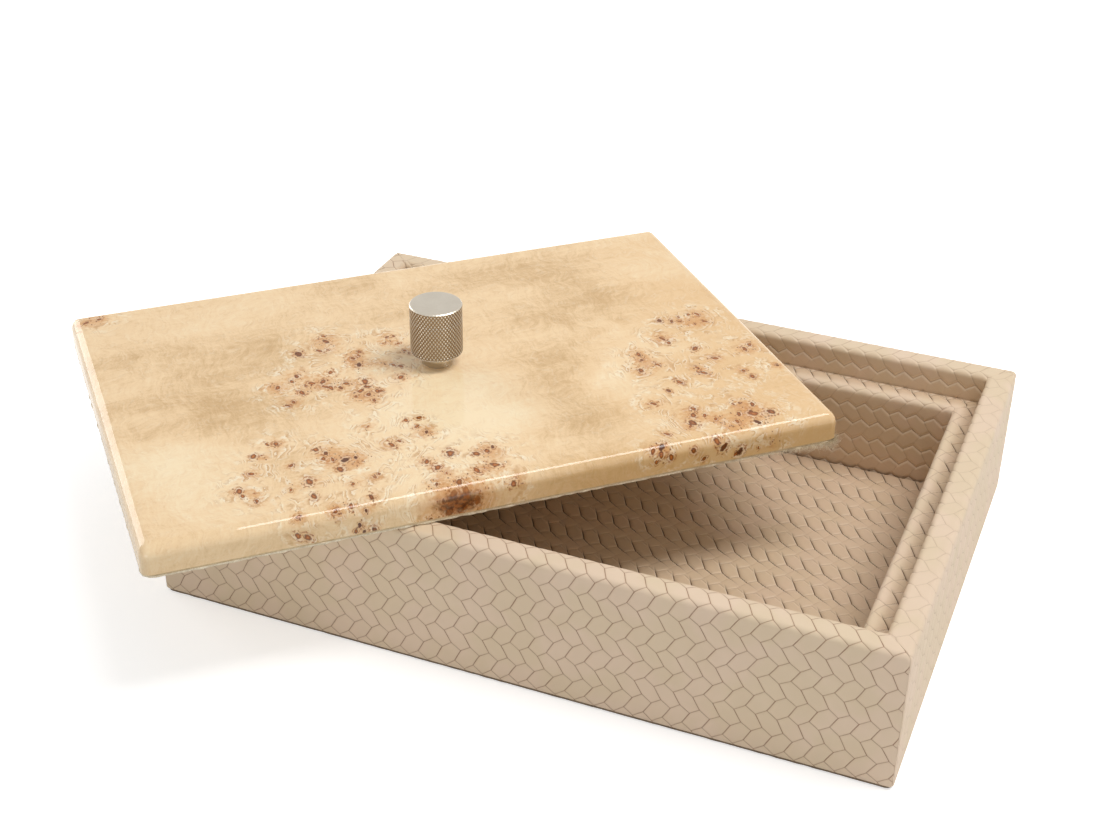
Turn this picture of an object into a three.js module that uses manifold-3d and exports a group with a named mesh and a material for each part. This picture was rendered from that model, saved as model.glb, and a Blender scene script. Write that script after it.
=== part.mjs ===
// Storage box of boards covered in embossed leather, with a loose burl wood lid.
// The lid has a knurled metal knob and lies askew on the box's rim.
// Millimetres, +Z up, origin at the middle of the underside, the front faces -Y.

import * as THREE from 'three';
import { mergeVertices } from 'three/addons/utils/BufferGeometryUtils.js';
import Module from 'manifold-3d';

// Box, measured over its leather
const boxLength = 300;
const boxWidth = 213;
const boxHeight = 60;
const boxCornerRadius = 2.4;
const rebateDepth = 12.8;

// Leather, and how far it is turned in and tucked away
const leatherThickness = 1;
const turnInWidth = 20;
const tuckDepth = 12;
const cornerRadiusShare = 2.4;

// Boards
const wallThickness = 9;
const linerThickness = 9;
const bottomThickness = 4;
const boardEdgeRadius = 1.5;
const rabbetShare = 0.5;

// Floor and base
const floorCardThickness = 1;
const feltThickness = 1;
const feltSetback = 0.5;
const cardClearance = 0.5;

// Lid, and its play in the rebate when it is closed
const lidEndClearance = 0.6;
const lidSideClearance = 2.3;
const lidThickness = 13.4;
const lidCornerRadius = 5.6;
const lidArrisRadius = 5;
const veneerThickness = 0.6;
const liningThickness = 1;

// Where the lid lies on the rim
const lidShiftX = -72.2;
const lidShiftY = -8.8;
const lidTurn = THREE.MathUtils.degToRad(43);

// Knob, in the middle of the lid
const knobDiameter = 22;
const knobHeight = 27.6;
const knobChamfer = 0.6;
const neckHeight = 6;
const neckDiameter = 14;
const neckFootDiameter = 12.6;
const neckFootRadius = 0.8;

// M4 knob screw, its washer and the pocket that hides them
const screwDiameter = 4;
const screwGrip = 7;
const screwHeadDiameter = 8;
const screwHeadHeight = 2.6;
const screwSocketAcross = 2.5;
const screwSocketDepth = 1.5;
const boreRunout = 2;
const washerDiameter = 12;
const washerThickness = 1;
const pocketDiameter = 14;
const pocketDepth = 5;

// Gap kept where a cut face meets its neighbour
const fitGap = 0.3;

// Length by which a cutting solid runs past what it cuts
const overrun = 5;

// Facets on a quarter bend, on a lid corner and around turned pieces
const bendFacets = 6;
const lidCornerFacets = 8;
const turnedFacets = 48;
const socketFacets = 6;

const quarterTurn = Math.PI / 2;

// Depths inward from the box's outer face
const wallInner = leatherThickness + wallThickness;
const rimWidth = wallInner + leatherThickness;
const linerOuter = rimWidth + leatherThickness;
const linerInner = linerOuter + linerThickness;
const linerFace = linerInner + leatherThickness;

// Heights
const boardBottom = feltThickness + leatherThickness;
const bottomTop = boardBottom + bottomThickness;
const floorCardTop = bottomTop + floorCardThickness;
const floorTop = floorCardTop + leatherThickness;
const wallTop = boxHeight - leatherThickness;
const ledgeTop = boxHeight - rebateDepth;
const linerTop = ledgeTop - leatherThickness;
const tuckEnd = ledgeTop - tuckDepth;
const bendRadius = boardEdgeRadius + leatherThickness;
const easedRadius = boardEdgeRadius + fitGap;

const wasm = await Module();
wasm.setup();

const leather = new THREE.MeshStandardMaterial({ color: 0xd2bda0, roughness: 0.6, metalness: 0 });
const board = new THREE.MeshStandardMaterial({ color: 0xb08d63, roughness: 0.85, metalness: 0 });
const card = new THREE.MeshStandardMaterial({ color: 0x9c9389, roughness: 0.9, metalness: 0 });
const felt = new THREE.MeshStandardMaterial({ color: 0x5b5550, roughness: 0.95, metalness: 0 });
const burl = new THREE.MeshStandardMaterial({ color: 0xe7cf9f, roughness: 0.12, metalness: 0 });
const lining = new THREE.MeshStandardMaterial({ color: 0xded6c8, roughness: 0.95, metalness: 0 });
const nickel = new THREE.MeshStandardMaterial({ color: 0xb9b2a6, roughness: 0.35, metalness: 1 });
const steel = new THREE.MeshStandardMaterial({ color: 0xa9abad, roughness: 0.4, metalness: 1 });

// A closed geometry as a solid that can be joined and cut
function toSolid(geometry) {
  const bare = new THREE.BufferGeometry();
  bare.setAttribute('position', geometry.getAttribute('position'));
  bare.setIndex(geometry.getIndex());
  const merged = mergeVertices(bare);
  const corners = merged.getIndex().array;
  const triangles = [];
  for (let i = 0; i < corners.length; i += 3) {
    const [a, b, c] = corners.slice(i, i + 3);
    if (a !== b && b !== c && c !== a) triangles.push(a, b, c);
  }
  return new wasm.Manifold(new wasm.Mesh({
    numProp: 3,
    vertProperties: merged.getAttribute('position').array,
    triVerts: new Uint32Array(triangles),
  }));
}

function toGeometry(solid) {
  const result = solid.getMesh();
  const geometry = new THREE.BufferGeometry();
  geometry.setAttribute('position', new THREE.BufferAttribute(result.vertProperties, 3));
  geometry.setIndex(new THREE.BufferAttribute(result.triVerts, 1));
  geometry.computeVertexNormals();
  return geometry;
}

// An outline in plan, drawn out between two heights
function prism(outline, low, high, facets = bendFacets) {
  const settings = { depth: high - low, bevelEnabled: false, curveSegments: facets / 2 };
  return toSolid(new THREE.ExtrudeGeometry(outline, settings).translate(0, 0, low));
}

// A section across a wall, x inward and y up, drawn out along the wall and centred on it
function alongWall(section, length) {
  const settings = { depth: length, bevelEnabled: false, curveSegments: bendFacets / 2 };
  const geometry = new THREE.ExtrudeGeometry(section, settings).translate(0, 0, -length / 2);
  const inward = new THREE.Vector3(0, 1, 0);
  const up = new THREE.Vector3(0, 0, 1);
  const along = new THREE.Vector3(1, 0, 0);
  return toSolid(geometry.applyMatrix4(new THREE.Matrix4().makeBasis(inward, up, along)));
}

// A shape in the plane of a wall, x along it and y up, drawn inward from its outer face
function throughWall(face, depth) {
  const settings = { depth, bevelEnabled: false, curveSegments: bendFacets / 2 };
  const geometry = new THREE.ExtrudeGeometry(face, settings).rotateX(quarterTurn);
  return toSolid(geometry.translate(0, depth, 0));
}

function rectangle(left, right, low, high) {
  const outline = new THREE.Shape();
  outline.moveTo(left, low);
  outline.lineTo(right, low);
  outline.lineTo(right, high);
  outline.lineTo(left, high);
  outline.closePath();
  return outline;
}

function roundedRectangle(length, width, radius) {
  const x = length / 2 - radius;
  const y = width / 2 - radius;
  const outline = new THREE.Shape();
  outline.absarc(x, y, radius, 0, quarterTurn);
  outline.absarc(-x, y, radius, quarterTurn, 2 * quarterTurn);
  outline.absarc(-x, -y, radius, 2 * quarterTurn, 3 * quarterTurn);
  outline.absarc(x, -y, radius, 3 * quarterTurn, 4 * quarterTurn);
  outline.closePath();
  return outline;
}

// A plain plate, centred on the box
function plate(length, width, low, high) {
  return prism(rectangle(-length / 2, length / 2, -width / 2, width / 2), low, high);
}

// A rectangle whose two upper corners are rounded
function roundTopped(left, right, low, high, leftRadius, rightRadius) {
  const outline = new THREE.Shape();
  outline.moveTo(left, low);
  outline.lineTo(right, low);
  outline.absarc(right - rightRadius, high - rightRadius, rightRadius, 0, quarterTurn);
  outline.absarc(left + leftRadius, high - leftRadius, leftRadius, quarterTurn, 2 * quarterTurn);
  outline.closePath();
  return outline;
}

// The space of one side seen in plan, cut at 45 degrees at both ends and rounded at the outer corners
function mitredPlan(length, depth) {
  const half = length / 2 - fitGap / 2;
  const radius = Math.min(boxCornerRadius, leatherThickness * cornerRadiusShare);
  const eighthTurn = quarterTurn / 2;
  const outline = new THREE.Shape();
  outline.absarc(half - radius, radius, radius, -quarterTurn, -eighthTurn);
  outline.lineTo(half - depth, depth);
  outline.lineTo(depth - half, depth);
  outline.absarc(radius - half, radius, radius, 3 * quarterTurn - eighthTurn, 3 * quarterTurn);
  outline.closePath();
  return outline;
}

// The four sides; a long side's boards run past the ends of a short side's boards
const sides = [
  { name: 'front', turn: 0, length: boxLength, reach: boxWidth / 2, runsPast: true },
  { name: 'right', turn: quarterTurn, length: boxWidth, reach: boxLength / 2, runsPast: false },
  { name: 'back', turn: 2 * quarterTurn, length: boxLength, reach: boxWidth / 2, runsPast: true },
  { name: 'left', turn: 3 * quarterTurn, length: boxWidth, reach: boxLength / 2, runsPast: false },
];

const box = new THREE.Group();

function addToBox(name, solid, material) {
  const mesh = new THREE.Mesh(toGeometry(solid), material.clone());
  mesh.name = name;
  box.add(mesh);
  return mesh;
}

function addToSide(side, name, solid, material) {
  const mesh = addToBox(`${side.name}_${name}`, solid, material);
  mesh.rotation.z = side.turn;
  mesh.position.set(side.reach * Math.sin(side.turn), -side.reach * Math.cos(side.turn), 0);
}

// A board of the wall or liner frame, with rabbeted corners: a long board has half of its thickness
// cut away at each end, and a short board's ends sit in these rabbets
function frameBoard(side, section, outer, thickness, low, high) {
  const rabbet = thickness * rabbetShare;
  if (!side.runsPast) return alongWall(section, side.length - 2 * (outer + rabbet));
  const length = side.length - 2 * outer;
  const shoulder = length / 2 - thickness;
  let solid = alongWall(section, length);
  for (const [from, to] of [[-length / 2 - overrun, -shoulder], [shoulder, length / 2 + overrun]]) {
    const notch = rectangle(from, to, outer + rabbet, outer + thickness + overrun);
    solid = solid.subtract(prism(notch, low - overrun, high + overrun));
  }
  return solid;
}

// Outer wall board: eased top edges, and a rabbet along the foot that holds the bottom board
function wallBoard(side) {
  const section = roundTopped(leatherThickness, wallInner, boardBottom, wallTop, easedRadius, easedRadius);
  let solid = frameBoard(side, section, leatherThickness, wallThickness, boardBottom, wallTop);
  const rabbet = wallThickness * rabbetShare;
  const foot = rectangle(wallInner - rabbet, wallInner + overrun, boardBottom - overrun, bottomTop);
  solid = solid.subtract(alongWall(foot, side.length + overrun));
  if (!side.runsPast) return solid;
  const half = side.length / 2 - leatherThickness;
  const face = roundTopped(-half, half, boardBottom, wallTop, easedRadius, easedRadius);
  return solid.intersect(throughWall(face, rimWidth));
}

// Liner board: stands on the bottom board inside the wall and carries the ledge
function linerBoard(side) {
  const section = roundTopped(linerOuter, linerInner, bottomTop, linerTop, 0, easedRadius);
  return frameBoard(side, section, linerOuter, linerThickness, bottomTop, linerTop);
}

// Wall leather: one skin from under the base, up the outside, over the rim and down behind the liner
function wallLeather(side) {
  const skin = new THREE.Shape();
  skin.moveTo(turnInWidth, feltThickness);
  skin.absarc(leatherThickness, boardBottom, leatherThickness, 3 * quarterTurn, 2 * quarterTurn, true);
  skin.absarc(bendRadius, boxHeight - bendRadius, bendRadius, 2 * quarterTurn, quarterTurn, true);
  skin.absarc(rimWidth - bendRadius, boxHeight - bendRadius, bendRadius, quarterTurn, 0, true);
  skin.lineTo(rimWidth, tuckEnd);
  skin.lineTo(wallInner, tuckEnd);
  skin.absarc(rimWidth - bendRadius, boxHeight - bendRadius, boardEdgeRadius, 0, quarterTurn);
  skin.absarc(bendRadius, boxHeight - bendRadius, boardEdgeRadius, quarterTurn, 2 * quarterTurn);
  skin.lineTo(leatherThickness, boardBottom);
  skin.lineTo(turnInWidth, boardBottom);
  skin.closePath();
  const depth = turnInWidth + rimWidth;
  const clip = prism(mitredPlan(side.length, depth), 0, boxHeight + overrun);
  return alongWall(skin, side.length).intersect(clip);
}

// Liner leather: from the compartment's floor up the inside, over the ledge and down behind the board
function linerLeather(side) {
  const skin = new THREE.Shape();
  skin.moveTo(rimWidth, tuckEnd);
  skin.absarc(linerOuter, linerTop, leatherThickness, 2 * quarterTurn, quarterTurn, true);
  skin.absarc(linerFace - bendRadius, ledgeTop - bendRadius, bendRadius, quarterTurn, 0, true);
  skin.lineTo(linerFace, bottomTop);
  skin.lineTo(linerInner, bottomTop);
  skin.absarc(linerFace - bendRadius, ledgeTop - bendRadius, boardEdgeRadius, 0, quarterTurn);
  skin.lineTo(linerOuter, linerTop);
  skin.lineTo(linerOuter, tuckEnd);
  skin.closePath();
  const depth = linerFace + overrun;
  const clip = prism(mitredPlan(side.length, depth), 0, boxHeight + overrun);
  return alongWall(skin, side.length).intersect(clip);
}

for (const side of sides) {
  addToSide(side, 'wall_board', wallBoard(side), board);
  addToSide(side, 'liner_board', linerBoard(side), board);
  addToSide(side, 'wall_leather', wallLeather(side), leather);
  addToSide(side, 'liner_leather', linerLeather(side), leather);
}

// Bottom board in the walls' rabbets, and the leather-covered card that is the compartment's floor
const boardInset = leatherThickness + wallThickness * rabbetShare;
const bottomBoard = plate(boxLength - 2 * boardInset, boxWidth - 2 * boardInset, boardBottom, bottomTop);
addToBox('bottom_board', bottomBoard, board);

const floorInset = linerFace + cardClearance;
const floorLength = boxLength - 2 * floorInset;
const floorWidth = boxWidth - 2 * floorInset;
addToBox('floor_card', plate(floorLength, floorWidth, bottomTop, floorCardTop), card);
addToBox('floor_leather', plate(floorLength, floorWidth, floorCardTop, floorTop), leather);

// Card that fills the field between the turn-ins, and the felt that closes the underside
const infillInset = turnInWidth + cardClearance;
const infill = plate(boxLength - 2 * infillInset, boxWidth - 2 * infillInset, feltThickness, boardBottom);
addToBox('base_infill_card', infill, card);

const feltPlan = roundedRectangle(boxLength - 2 * feltSetback, boxWidth - 2 * feltSetback, boxCornerRadius);
addToBox('base_felt', prism(feltPlan, 0, feltThickness), felt);

// Lid, in its own frame: origin at the middle of its underside
const lid = new THREE.Group();
lid.position.set(lidShiftX, lidShiftY, boxHeight + fitGap);
lid.rotation.z = lidTurn;
box.add(lid);

function addToLid(name, solid, material) {
  const mesh = new THREE.Mesh(toGeometry(solid), material.clone());
  mesh.name = name;
  lid.add(mesh);
}

const lidLength = boxLength - 2 * (rimWidth + lidEndClearance);
const lidWidth = boxWidth - 2 * (rimWidth + lidSideClearance);
const backingTop = liningThickness + veneerThickness;
const coreTop = lidThickness - veneerThickness;
const arrisLow = lidThickness - lidArrisRadius;
const pocketTop = liningThickness + pocketDepth;

// The lid's outer form, or one that is smaller all round in plan
function lidPrism(inset, low, high) {
  const outline = roundedRectangle(lidLength - 2 * inset, lidWidth - 2 * inset, lidCornerRadius - inset);
  return prism(outline, low, high, lidCornerFacets);
}

// The lid's outer form with its top arris rounded over, or one that is smaller all round
function roundedLid(inset, top) {
  const plan = roundedRectangle(
    lidLength - 2 * lidArrisRadius,
    lidWidth - 2 * lidArrisRadius,
    lidCornerRadius - lidArrisRadius,
  );
  const radius = lidArrisRadius - inset;
  const settings = {
    depth: top - radius,
    bevelThickness: radius,
    bevelSize: radius,
    bevelSegments: bendFacets,
    curveSegments: lidCornerFacets / 2,
  };
  return toSolid(new THREE.ExtrudeGeometry(plan, settings));
}

// A piece turned about the knob's axis, from its half profile as radius and height pairs
function turned(profile, facets = turnedFacets) {
  const points = profile.map(([radius, height]) => new THREE.Vector2(radius, height));
  return toSolid(new THREE.LatheGeometry(points, facets).rotateX(quarterTurn));
}

function turnedRod(diameter, low, high, facets = turnedFacets) {
  return turned([[0, low], [diameter / 2, low], [diameter / 2, high], [0, high]], facets);
}

const screwHole = turnedRod(screwDiameter + 2 * fitGap, -overrun, lidThickness + overrun);
const pocket = turnedRod(pocketDiameter, -overrun, pocketTop);

// Core board inside the veneers, with the screw's hole and pocket
const coreForm = roundedLid(veneerThickness + fitGap, coreTop);
const core = coreForm.intersect(lidPrism(0, backingTop, coreTop));
addToLid('lid_core', core.subtract(screwHole).subtract(pocket), board);

// Burl veneer over the top and its rounded arris, and the plain veneer under the core that keeps it flat
const topSkin = roundedLid(0, lidThickness).subtract(roundedLid(veneerThickness, coreTop));
const topVeneer = topSkin.intersect(lidPrism(0, arrisLow, lidThickness)).subtract(screwHole);
addToLid('lid_top_veneer', topVeneer, burl);
addToLid('lid_backing_veneer', lidPrism(0, liningThickness, backingTop).subtract(pocket), board);

// Burl veneer round the edge below the arris, in four strips: the long ones go round the corners
const edgeSpace = lidPrism(veneerThickness, -overrun, lidThickness + overrun);
const edgeBand = lidPrism(0, backingTop, arrisLow).subtract(edgeSpace);
const stripEnd = lidLength / 2 - lidCornerRadius;
const cornerEnd = lidWidth / 2 - lidCornerRadius;
for (const [name, facing] of [['front', -1], ['back', 1]]) {
  const near = facing * (cornerEnd + fitGap / 2);
  const far = facing * (lidWidth / 2 + overrun);
  const reach = lidLength / 2 + overrun;
  const region = rectangle(-reach, reach, Math.min(near, far), Math.max(near, far));
  addToLid(`lid_${name}_edge_veneer`, edgeBand.intersect(prism(region, 0, lidThickness)), burl);
}
for (const [name, facing] of [['left', -1], ['right', 1]]) {
  const near = facing * stripEnd;
  const far = facing * (lidLength / 2 + overrun);
  const reach = cornerEnd - fitGap / 2;
  const region = rectangle(Math.min(near, far), Math.max(near, far), -reach, reach);
  addToLid(`lid_${name}_edge_veneer`, edgeBand.intersect(prism(region, 0, lidThickness)), burl);
}

// Soft lining that covers the underside and the screw's pocket
addToLid('lid_lining', lidPrism(0, 0, liningThickness), lining);

// Knob: a knurled head on a plain neck, turned from one bar and bored for the screw
const boreRadius = screwDiameter / 2 + fitGap;
const boreTop = lidThickness + screwGrip + boreRunout;
const headBottom = lidThickness + neckHeight;
const knobTop = lidThickness + knobHeight;
const knob = turned([
  [0, boreTop],
  [boreRadius, boreTop],
  [boreRadius, lidThickness],
  [neckFootDiameter / 2 - neckFootRadius, lidThickness],
  [neckFootDiameter / 2, lidThickness + neckFootRadius],
  [neckDiameter / 2, headBottom],
  [knobDiameter / 2 - knobChamfer, headBottom],
  [knobDiameter / 2, headBottom + knobChamfer],
  [knobDiameter / 2, knobTop - knobChamfer],
  [knobDiameter / 2 - knobChamfer, knobTop],
  [0, knobTop],
]);
addToLid('knob', knob, nickel);

// Washer against the pocket's ceiling
const washerBottom = pocketTop - washerThickness;
const washer = turnedRod(washerDiameter, washerBottom, pocketTop);
addToLid('knob_washer', washer.subtract(screwHole), steel);

// Screw up through the washer and the core into the knob, with a hexagon socket in its head
const headLow = washerBottom - screwHeadHeight;
const socketCorners = screwSocketAcross / Math.cos(Math.PI / socketFacets);
const socket = turnedRod(socketCorners, headLow - overrun, headLow + screwSocketDepth, socketFacets);
const screw = turned([
  [0, headLow],
  [screwHeadDiameter / 2, headLow],
  [screwHeadDiameter / 2, washerBottom],
  [screwDiameter / 2, washerBottom],
  [screwDiameter / 2, lidThickness + screwGrip],
  [0, lidThickness + screwGrip],
]);
addToLid('knob_screw', screw.subtract(socket), steel);

export default box;
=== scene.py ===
from math import cos, pi, radians, sin, sqrt

import bpy
import numpy as np
from mathutils import Matrix, Vector


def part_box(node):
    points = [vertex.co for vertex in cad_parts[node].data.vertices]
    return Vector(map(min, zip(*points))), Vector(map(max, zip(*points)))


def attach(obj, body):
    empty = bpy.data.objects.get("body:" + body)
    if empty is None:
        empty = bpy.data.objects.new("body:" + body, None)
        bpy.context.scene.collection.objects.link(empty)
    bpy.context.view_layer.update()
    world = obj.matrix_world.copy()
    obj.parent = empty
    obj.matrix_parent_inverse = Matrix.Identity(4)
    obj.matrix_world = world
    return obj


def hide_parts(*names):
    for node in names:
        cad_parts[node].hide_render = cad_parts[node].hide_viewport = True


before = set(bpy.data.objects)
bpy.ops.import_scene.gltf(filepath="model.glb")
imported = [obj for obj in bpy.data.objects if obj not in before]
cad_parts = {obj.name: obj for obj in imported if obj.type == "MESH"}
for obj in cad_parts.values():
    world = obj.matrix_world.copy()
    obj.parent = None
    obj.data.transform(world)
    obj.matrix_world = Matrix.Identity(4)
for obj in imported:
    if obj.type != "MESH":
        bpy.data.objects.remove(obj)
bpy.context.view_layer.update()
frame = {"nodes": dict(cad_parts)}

nodes = frame["nodes"]


# Camera
# It stands in front of the box, to its right and above the rim. Its place, angles and lens are those of a
# pinhole camera fitted to the straight edges of the box and lid.
IMAGE_WIDTH = 1097
FOCAL_PIXELS = 1723.3
SENSOR_WIDTH = 36

camera_data = bpy.data.cameras.new("camera")
camera_data.sensor_width = SENSOR_WIDTH
camera_data.lens = FOCAL_PIXELS * SENSOR_WIDTH / IMAGE_WIDTH
camera = bpy.data.objects.new("camera", camera_data)
camera.location = (0.20698, -0.57241, 0.42440)
camera.rotation_euler = (radians(59.192), radians(-0.536), radians(22.421))
bpy.context.collection.objects.link(camera)
bpy.context.scene.camera = camera


# Floor, backdrop and light
# A pale table top under a white room. A long soft box hangs high above the box to the right, turned the way
# the lid is turned, and another stands low at the left. A weak lamp low in front fills the front wall.
MM = 0.001
WHITE = (1, 1, 1, 1)


def both_ways(operation):
    """An operator's two methods, for a wire on its left and for a wire on its right."""
    return (
        lambda wire, other: wire.math(operation, wire, other),
        lambda wire, other: wire.math(operation, other, wire),
    )


class Wire:
    """An output socket of a node. Arithmetic on it adds Math nodes."""

    __add__, __radd__ = both_ways("ADD")
    __sub__, __rsub__ = both_ways("SUBTRACT")
    __mul__, __rmul__ = both_ways("MULTIPLY")
    __truediv__, __rtruediv__ = both_ways("DIVIDE")

    def __init__(self, nodes, socket):
        self.nodes = nodes
        self.socket = socket

    def math(self, operation, *values):
        return self.nodes.add("Math", {"operation": operation}, dict(enumerate(values)))

    def __mod__(self, other):
        return self.math("FLOORED_MODULO", self, other)

    def __gt__(self, other):
        return self.math("GREATER_THAN", self, other)

    def __abs__(self):
        return self.math("ABSOLUTE", self)


def srgb(red, green, blue):
    """The linear colour of a screen colour given from 0 to 255, by the usual 2.4 power curve."""
    parts = [part / 255 for part in (red, green, blue)]
    linear = [part / 12.92 if part <= 0.04045 else ((part + 0.055) / 1.055) ** 2.4 for part in parts]
    return (*linear, 1)


class Nodes:
    """The node tree of a material or world, filled by calls."""

    def __init__(self, owner):
        owner.use_nodes = True
        self.owner = owner
        self.tree = owner.node_tree
        self.tree.nodes.clear()

    def add(self, kind, settings, sockets, output=0):
        """Adds a shader node of a kind, its settings first, then the value or wire of each input."""
        node = self.tree.nodes.new("ShaderNode" + kind)
        for name, value in settings.items():
            setattr(node, name, value)
        for name, value in sockets.items():
            if isinstance(value, Wire):
                self.tree.links.new(value.socket, node.inputs[name])
            else:
                node.inputs[name].default_value = value
        return Wire(self, node.outputs[output]) if node.outputs else None

    def place(self):
        """Where a point lies in its object's own frame."""
        return self.add("TexCoord", {}, {}, 3)

    def pattern(self):
        """Where a point lies on the piece laid flat, as two numbers in mm."""
        flat = self.add("UVMap", {"uv_map": "pattern"}, {})
        outputs = self.add("SeparateXYZ", {}, {0: flat}).socket.node.outputs
        return Wire(self, outputs[0]), Wire(self, outputs[1])

    def field(self, name):
        """A number that the mesh holds for each vertex."""
        return self.add("Attribute", {"attribute_name": name}, {}, 2)

    def join(self, x, y, z=0):
        """A vector of three numbers."""
        return self.add("CombineXYZ", {}, {0: x, 1: y, 2: z})

    def mix(self, share, first, second):
        """A colour between two, each a screen colour or a wire: the first at share 0, the second at 1."""
        first, second = (tone if isinstance(tone, Wire) else srgb(*tone) for tone in (first, second))
        return self.add("Mix", {"data_type": "RGBA"}, {0: share, 6: first, 7: second}, 2)

    def tint(self, colour, layers):
        """Lays tints over a colour one after another, each by its share."""
        for share, tone in layers:
            colour = self.mix(share, colour, tone)
        return colour

    def rise(self, value, low, high):
        """0 below low, 1 above high, and a smooth step between them."""
        settings = {"interpolation_type": "SMOOTHSTEP"}
        return self.add("MapRange", settings, {0: value, 1: low, 2: high, 3: 0, 4: 1})

    def fall(self, value, low, high):
        """1 below low, 0 above high, and a smooth step between them."""
        return 1 - self.rise(value, low, high)

    def noise(self, place, scale, detail=2, roughness=0.5):
        sockets = {"Vector": place, "Scale": scale, "Detail": detail, "Roughness": roughness}
        return self.add("TexNoise", {}, sockets)

    def surface(self, colour, roughness, strength, height, others):
        """Ends a material with a surface whose bump has the given strength and height in mm."""
        bump = self.add("Bump", {}, {"Strength": strength, "Distance": MM, "Height": height})
        sockets = {"Base Color": colour, "Roughness": roughness, "Normal": bump, **others}
        shader = self.add("BsdfPrincipled", {}, sockets)
        self.add("OutputMaterial", {}, {"Surface": shader})
        return self.owner


def show_white(tree, strength):
    """1 for rays that see the room, also in a reflection or through glass, otherwise the strength."""
    path = tree.add("LightPath", {}, {})
    outputs = path.socket.node.outputs
    seen, mirrored, through = (
        Wire(tree, outputs[f"Is {kind} Ray"]) for kind in ("Camera", "Glossy", "Transmission")
    )
    shown = path.math("MAXIMUM", seen, path.math("MAXIMUM", mirrored, through))
    return shown * (1 - strength) + strength


ROOM_LIGHT = 0.45
world = bpy.data.worlds.new("room")
bpy.context.scene.world = world
room = Nodes(world)
room_strength = show_white(room, ROOM_LIGHT)
background = room.add("Background", {}, {"Color": WHITE, "Strength": room_strength})
room.add("OutputWorld", {}, {"Surface": background})

FLOOR_HALF = 4
FLOOR_COLOUR = (0.8, 0.8, 0.8, 1)
FLOOR_GLOW, FAR_GLOW = 0.5, 0.6
FAR_FROM, FAR_TO = 0.18, 0.42
floor_mesh = bpy.data.meshes.new("floor")
floor_corners = [(-1, -1), (1, -1), (1, 1), (-1, 1)]
floor_mesh.from_pydata([(FLOOR_HALF * x, FLOOR_HALF * y, 0) for x, y in floor_corners], [], [(0, 1, 2, 3)])
floor = bpy.data.objects.new("floor", floor_mesh)
bpy.context.collection.objects.link(floor)
floor_material = bpy.data.materials.new("pale_table")
table = Nodes(floor_material)
matt = table.add("BsdfDiffuse", {}, {"Color": FLOOR_COLOUR})
away = table.add("VectorMath", {"operation": "LENGTH"}, {0: table.place()}, 1)
floor_strength = show_white(table, 0) * (FLOOR_GLOW + table.rise(away, FAR_FROM, FAR_TO) * FAR_GLOW)
glow = table.add("Emission", {}, {"Color": WHITE, "Strength": floor_strength})
lifted = table.add("AddShader", {}, {0: matt, 1: glow})
table.add("OutputMaterial", {}, {"Surface": lifted})
floor_mesh.materials.append(floor_material)

LAMP_DISTANCE = 1.6
LAMPS = [
    ("soft_box", (0.40, 0.08, 0.91), (0.731, 0.682, 0), (0.44, 1.1), 13.6),
    ("left_box", (-0.94, 0.24, 0.22), (0, 0, 1), (0.7, 0.9), 7),
    ("low_lamp", (0.15, -0.98, 0.03), (0, 0, 1), (0.5, 0.5), 3),
]
for lamp_name, direction, along, size, power in LAMPS:
    lamp_data = bpy.data.lights.new(lamp_name, "AREA")
    lamp_data.shape = "RECTANGLE"
    lamp_data.size, lamp_data.size_y = size
    lamp_data.energy = power
    lamp = bpy.data.objects.new(lamp_name, lamp_data)
    outward = Vector(direction)
    lamp.location = outward * LAMP_DISTANCE
    sideways = Vector(along).cross(outward).normalized()
    upward = outward.cross(sideways).normalized()
    lamp.rotation_euler = Matrix((sideways, upward, outward.normalized())).transposed().to_euler()
    bpy.context.collection.objects.link(lamp)
bpy.context.scene.view_settings.view_transform = "Standard"


# Embossed leather
# Beige leather pressed with a herringbone: rows of slanted cells that lean the other way in every second
# row, parted by zigzag grooves. It covers every face of the box, inside and out.
CELL_PITCH = 7.65
ROW_HEIGHT = 8
ZIGZAG = 2.8
CELL_LEAN = 2.9
ZIGZAG_SLOPE = 2 * ZIGZAG / CELL_PITCH
ZIGZAG_COSINE = 1 / sqrt(1 + ZIGZAG_SLOPE**2)
LEAN_SLOPE = CELL_LEAN / (ROW_HEIGHT - ZIGZAG)
LEAN_COSINE = 1 / sqrt(1 + LEAN_SLOPE**2)


def smaller(first, second):
    """The smaller of two values: half of their sum less their difference."""
    return (first + second - abs(first - second)) * 0.5


def larger(first, second):
    """The larger of two values: half of their sum and their difference."""
    return (first + second + abs(first - second)) * 0.5


def herringbone(u, v):
    """Distances from the nearest zigzag line and from the nearest parting, for arrays or wires in mm.

    Rows lie between zigzag lines. The first line's v is a triangle wave of u, one tooth for each cell. The
    second lies one row further on, shifted by half a cell and the lean. In a row, cells are parted by
    straight grooves that lean to the right in one row and to the left in the next.
    """
    first = (1 - 4 * abs((u / CELL_PITCH) % 1 - 0.5)) * (ZIGZAG / 2)
    second = (1 - 4 * abs(((u - CELL_PITCH / 2 - CELL_LEAN) / CELL_PITCH) % 1 - 0.5)) * (ZIGZAG / 2)
    below = (v - first) % (2 * ROW_HEIGHT)
    border = second - first + ROW_HEIGHT
    zigzag = smaller(smaller(below, 2 * ROW_HEIGHT - below), abs(below - border)) * ZIGZAG_COSINE
    odd = 1 * (below > border)
    height = below + first - odd * ROW_HEIGHT - ROW_HEIGHT / 2
    start = (1 - odd) * (CELL_PITCH / 2) + CELL_LEAN / 2 + (1 - 2 * odd) * height * LEAN_SLOPE
    across = ((u - start) / CELL_PITCH) % 1
    parting = smaller(across, 1 - across) * (CELL_PITCH * LEAN_COSINE)
    return zigzag, parting


FOLD_STEEP, FOLD_GENTLE = 0.45, 1.4
FOLD_LEAD, FOLD_MIDDLE, FOLD_REACH = 3, 4, 5


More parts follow.
